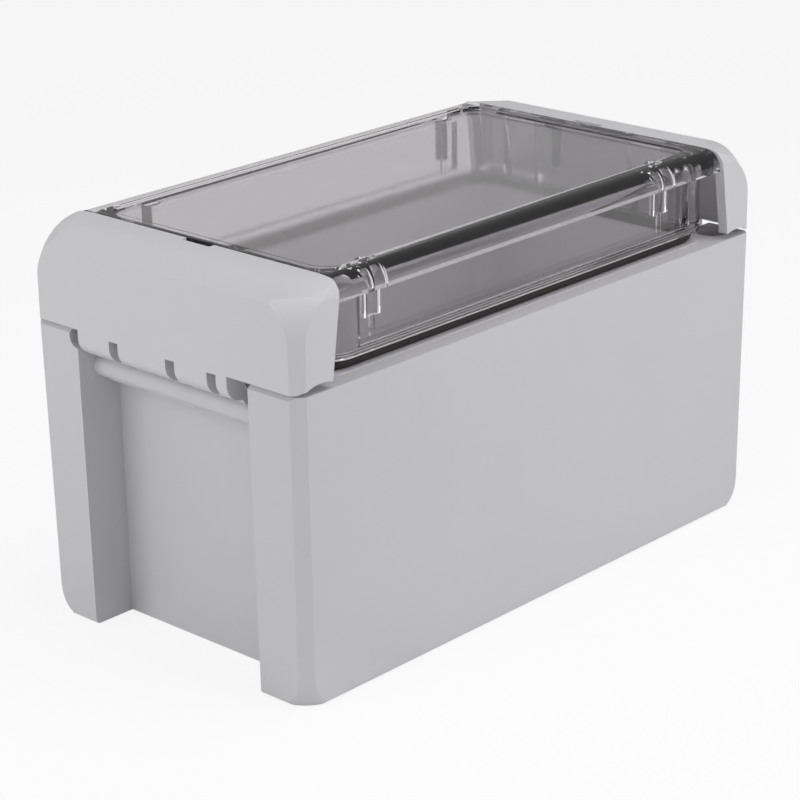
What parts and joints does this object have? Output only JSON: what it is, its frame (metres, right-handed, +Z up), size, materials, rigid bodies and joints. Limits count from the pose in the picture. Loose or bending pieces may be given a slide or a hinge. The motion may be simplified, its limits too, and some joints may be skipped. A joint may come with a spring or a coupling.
{
  "type": "hinged polycarbonate enclosure",
  "caption": "Grey wall-mount polycarbonate housing with a deep clear lid, a soft seal and clip-on end strips that latch or hinge the lid.",
  "frame": {"origin": "centre of the base's underside, on the surface the enclosure rests on or is screwed to", "axes": "+Z up through the lid, +X along the length towards the hinge strip, +Y across the width"},
  "size_m": [0.151, 0.08, 0.09],
  "materials": {
    "base_grey": "fine satin moulded polycarbonate, light grey",
    "strip_grey": "satin moulded polycarbonate, light grey",
    "clear_polycarbonate": "polished clear polycarbonate with a faint smoky tint",
    "seal_foam": "dark closed-cell foamed seal"
  },
  "bodies": {
    "base": {"housing_base": "base_grey"},
    "latch": {"latch_strip": "strip_grey"},
    "lid": {"clear_lid": "clear_polycarbonate", "lid_seal": "seal_foam", "hinge_strip": "strip_grey"}
  },
  "joints": [
    {"name": "latch_strip_hinge", "type": "hinge", "parent": "base", "child": "latch", "pos_m": [-0.0689, 0, 0.0592], "axis": [0, -1, 0], "range_deg": [0, 100]},
    {"name": "lid_hinge", "type": "hinge", "parent": "base", "child": "lid", "pos_m": [0.0689, 0, 0.0592], "axis": [0, 1, 0], "range_deg": [0, 100]}
  ]
}
